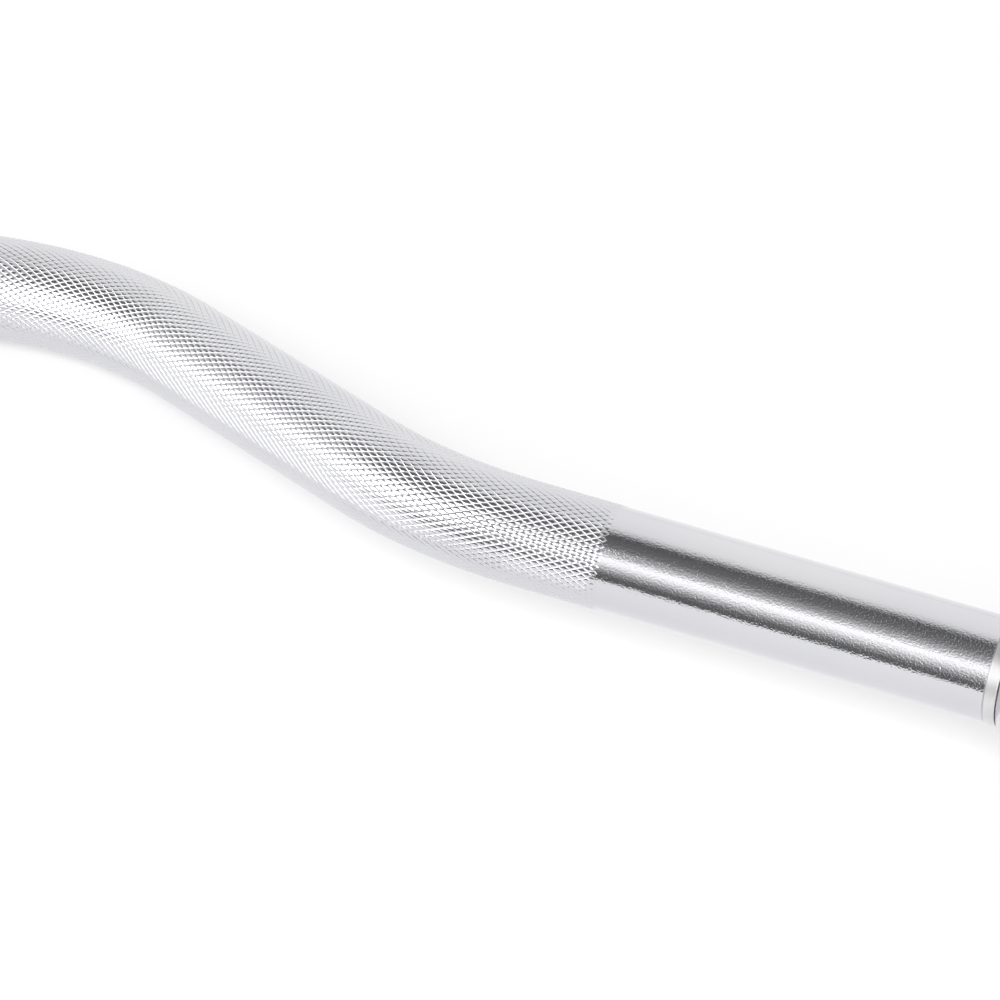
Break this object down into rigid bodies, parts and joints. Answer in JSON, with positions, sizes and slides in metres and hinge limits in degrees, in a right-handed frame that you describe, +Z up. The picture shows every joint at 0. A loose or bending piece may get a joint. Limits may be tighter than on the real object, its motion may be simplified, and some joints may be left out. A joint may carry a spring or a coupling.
{
  "type": "ez curl bar",
  "caption": "EZ curl bar: a bent, knurled chrome shaft with a free-spinning loading sleeve and a flanged collar on each end, for holed weight plates.",
  "frame": {"origin": "on the floor, under the middle of the bar's box", "axes": "+X along the sleeves' axis to the right end, +Y from the sleeves towards the bent peaks, +Z up; the bar lies on the rims of its collars and on its peaks"},
  "size_m": [1.2244, 0.099, 0.066],
  "materials": {
    "shaft_chrome": "hard chrome plate, bright on the plain lengths and satin on the diamond knurl",
    "collar_chrome": "turned and chrome plated",
    "sleeve_chrome": "ground and chrome plated, with fine scuffs round the sleeve",
    "washer_steel": "satin turned steel",
    "spacer_steel": "plain drawn tube",
    "ring_steel": "dark oiled spring steel",
    "bushing_bronze": "oil-filled sintered bronze",
    "plug_nylon": "fine moulded grain"
  },
  "bodies": {
    "bar": {"bent_shaft": "shaft_chrome", "left_inner_washer": "washer_steel", "left_outer_washer": "washer_steel", "left_shaft_ring": "ring_steel", "right_inner_washer": "washer_steel", "right_outer_washer": "washer_steel", "right_shaft_ring": "ring_steel"},
    "left_end": {"left_collar": "collar_chrome", "left_sleeve": "sleeve_chrome", "left_inner_bushing": "bushing_bronze", "left_spacer_tube": "spacer_steel", "left_outer_bushing": "bushing_bronze", "left_end_plug": "plug_nylon", "left_plug_ring": "ring_steel"},
    "right_end": {"right_collar": "collar_chrome", "right_sleeve": "sleeve_chrome", "right_inner_bushing": "bushing_bronze", "right_spacer_tube": "spacer_steel", "right_outer_bushing": "bushing_bronze", "right_end_plug": "plug_nylon", "right_plug_ring": "ring_steel"}
  },
  "joints": [
    {"name": "right_sleeve_spin", "type": "hinge", "parent": "bar", "child": "right_end", "pos_m": [0.53873, -0.01648, 0.033], "axis": [1, 0, 0], "continuous": true},
    {"name": "left_sleeve_spin", "type": "hinge", "parent": "bar", "child": "left_end", "pos_m": [-0.53873, -0.01648, 0.033], "axis": [1, 0, 0], "continuous": true}
  ]
}
